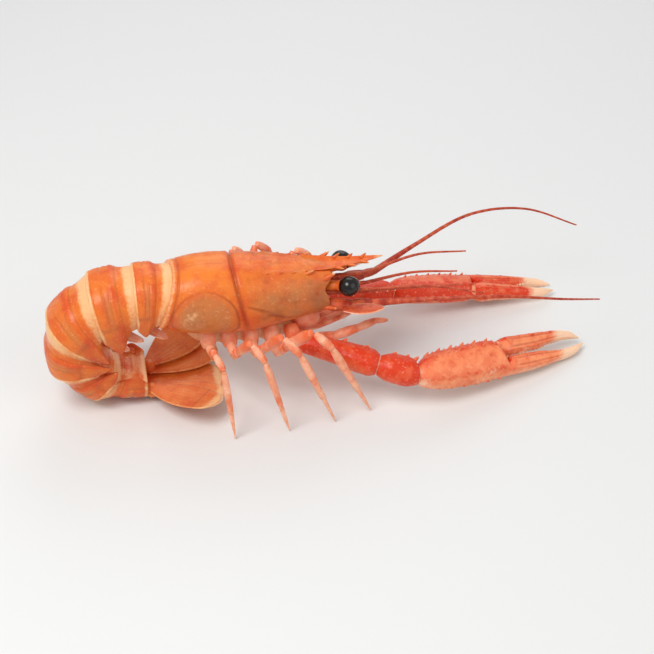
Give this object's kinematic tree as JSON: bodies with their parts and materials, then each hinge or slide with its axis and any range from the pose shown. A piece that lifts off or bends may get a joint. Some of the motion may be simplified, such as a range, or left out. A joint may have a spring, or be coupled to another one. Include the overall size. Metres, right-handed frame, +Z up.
{
  "type": "raw langoustine",
  "caption": "Whole raw langoustine standing belly down, tail curled under the body and long slender claws reaching forward.",
  "frame": {"origin": "centre of the bounding box, on the ground the animal rests on", "axes": "+X from the curl of the tail to the tips of the claws, +Y the animal's left, +Z up"},
  "size_m": [0.24, 0.078, 0.0655],
  "materials": {
    "shell": "wet orange shell with pale hind margins",
    "belly": "moist pale underside",
    "claw": "wet orange-red shell, paler underneath and at the tips",
    "leg": "wet pale pink shell",
    "tail_fan": "wet orange plate with a pale fringe",
    "eye": "wet black",
    "feeler": "wet red-orange"
  },
  "bodies": {
    "root": {"abdomen_1": "shell", "abdomen_2": "shell", "abdomen_3": "shell", "abdomen_4": "shell", "abdomen_5": "shell", "abdomen_6": "shell", "antenna_left": "feeler", "antenna_right": "feeler", "antenna_scale_left": "feeler", "antenna_scale_right": "feeler", "antennule_inner_left": "feeler", "antennule_inner_right": "feeler", "antennule_outer_left": "feeler", "antennule_outer_right": "feeler", "breastplate": "belly", "carapace": "shell", "claw_carpus_left": "claw", "claw_carpus_right": "claw", "claw_finger_left": "claw", "claw_finger_right": "claw", "claw_merus_left": "claw", "claw_merus_right": "claw", "claw_palm_left": "claw", "claw_palm_right": "claw", "eye_left": "eye", "eye_right": "eye", "leg_1_lower_left": "leg", "leg_1_lower_right": "leg", "leg_1_upper_left": "leg", "leg_1_upper_right": "leg", "leg_2_lower_left": "leg", "leg_2_lower_right": "leg", "leg_2_upper_left": "leg", "leg_2_upper_right": "leg", "leg_3_lower_left": "leg", "leg_3_lower_right": "leg", "leg_3_upper_left": "leg", "leg_3_upper_right": "leg", "leg_4_lower_left": "leg", "leg_4_lower_right": "leg", "leg_4_upper_left": "leg", "leg_4_upper_right": "leg", "maxilliped_left": "leg", "maxilliped_right": "leg", "swimmeret_1_left": "leg", "swimmeret_1_right": "leg", "swimmeret_2_left": "leg", "swimmeret_2_right": "leg", "swimmeret_3_left": "leg", "swimmeret_3_right": "leg", "telson": "tail_fan", "uropod_inner_left": "tail_fan", "uropod_inner_right": "tail_fan", "uropod_outer_left": "tail_fan", "uropod_outer_right": "tail_fan"}
  },
  "joints": []
}
